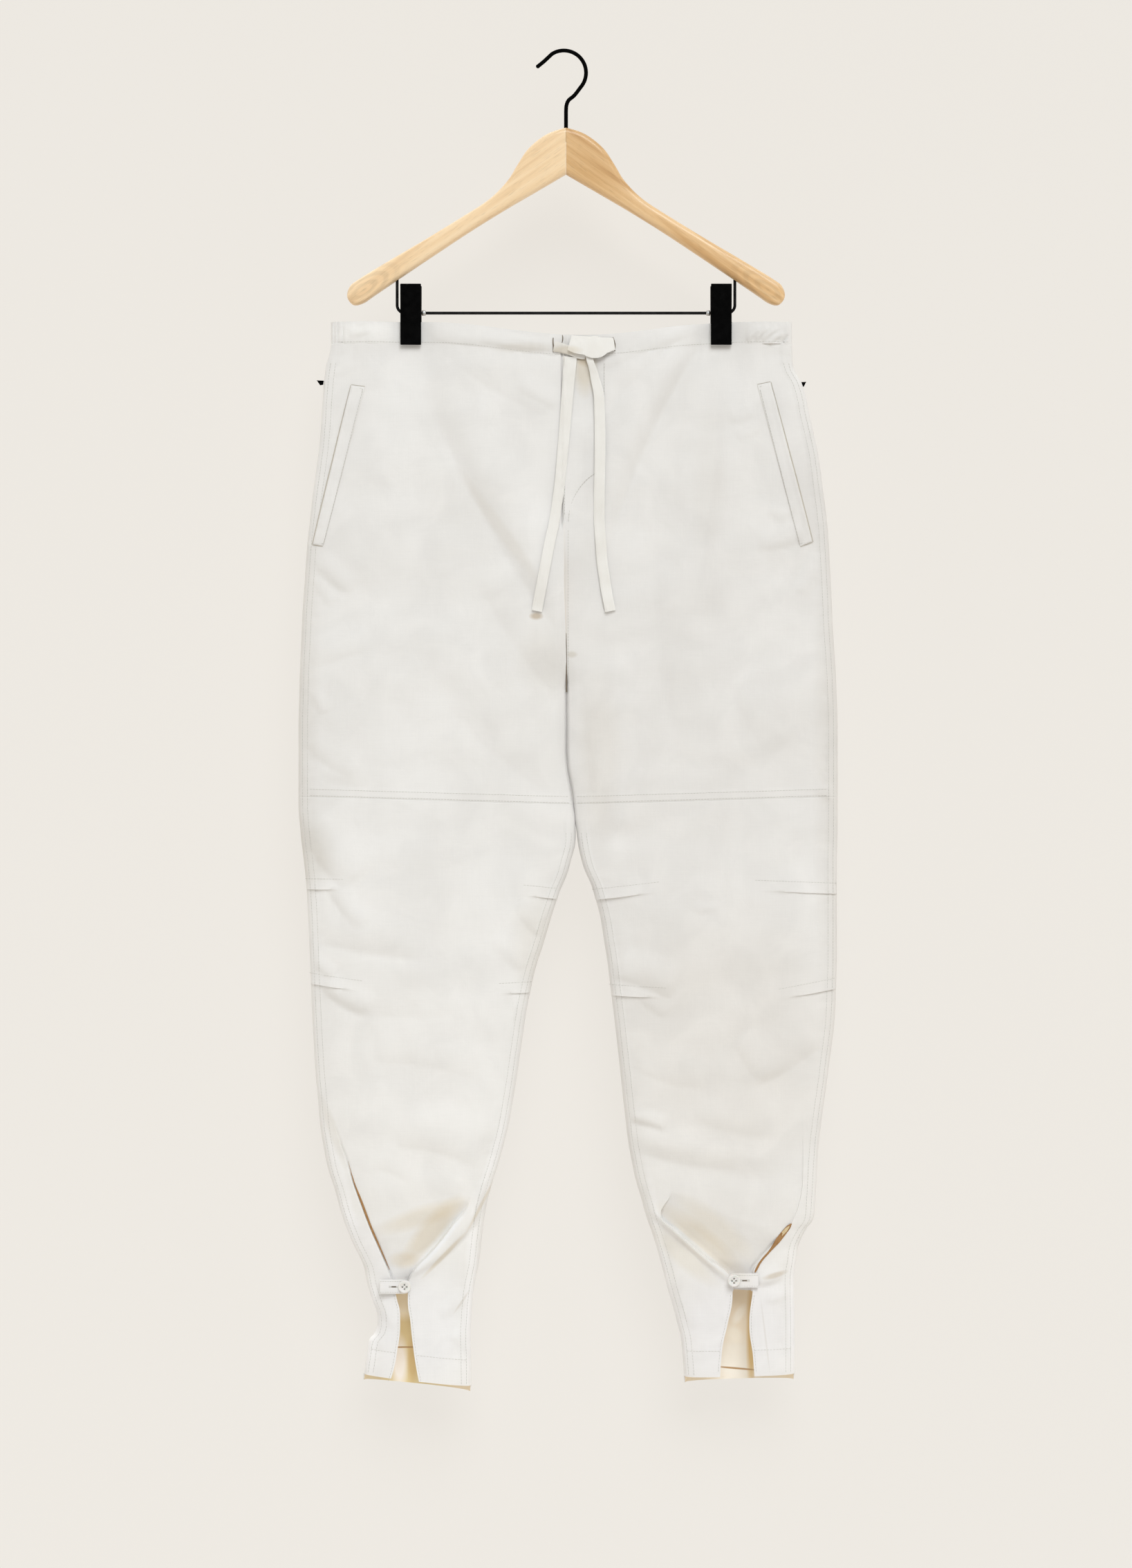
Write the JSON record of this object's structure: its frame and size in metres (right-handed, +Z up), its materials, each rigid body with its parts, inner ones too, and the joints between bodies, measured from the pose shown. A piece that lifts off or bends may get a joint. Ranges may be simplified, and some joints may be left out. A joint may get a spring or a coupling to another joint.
{
  "type": "military snow overtrousers on a wooden clip hanger",
  "caption": "White cotton drawstring overtrousers with slanted welt pockets and buttoned, slit ankles, hanging by their waistband from a wooden hanger with a clip bar.",
  "frame": {"origin": "the inner top of the hanger's hook, where a rail carries it", "axes": "+Z up, -Y out of the front of the trousers, +X to the right as seen from the front"},
  "size_m": [0.546, 0.0565, 1.3559],
  "materials": {
    "cotton": "plain woven white cotton, washed, matt",
    "tape": "flat woven cotton tape, matt",
    "black_steel": "black coating, satin to matt",
    "dark_wire": "dark grey coating, satin",
    "zinc": "zinc plated, satin",
    "white_plastic": "moulded, satin",
    "pale_beech": "clear satin varnish",
    "darker_beech": "clear satin varnish"
  },
  "bodies": {
    "root": {"ankle_button_left": "white_plastic", "ankle_button_right": "white_plastic", "ankle_tab_left": "cotton", "ankle_tab_right": "cotton", "back_left": "cotton", "back_right": "cotton", "clip_back_left": "black_steel", "clip_back_right": "black_steel", "clip_ferrule_left": "zinc", "clip_ferrule_right": "zinc", "clip_front_left": "black_steel", "clip_front_right": "black_steel", "drawstring_knot": "tape", "drawstring_tail_left": "tape", "drawstring_tail_right": "tape", "fly_placket": "cotton", "front_lower_left": "cotton", "front_lower_right": "cotton", "front_upper_left": "cotton", "front_upper_right": "cotton", "hanger_arm_left": "pale_beech", "hanger_arm_right": "darker_beech", "hanger_bar": "dark_wire", "hanger_hook": "black_steel", "pocket_welt_left": "cotton", "pocket_welt_right": "cotton", "side_eye_left": "black_steel", "side_eye_right": "black_steel", "waistband_back": "cotton", "waistband_front": "cotton"}
  },
  "joints": []
}
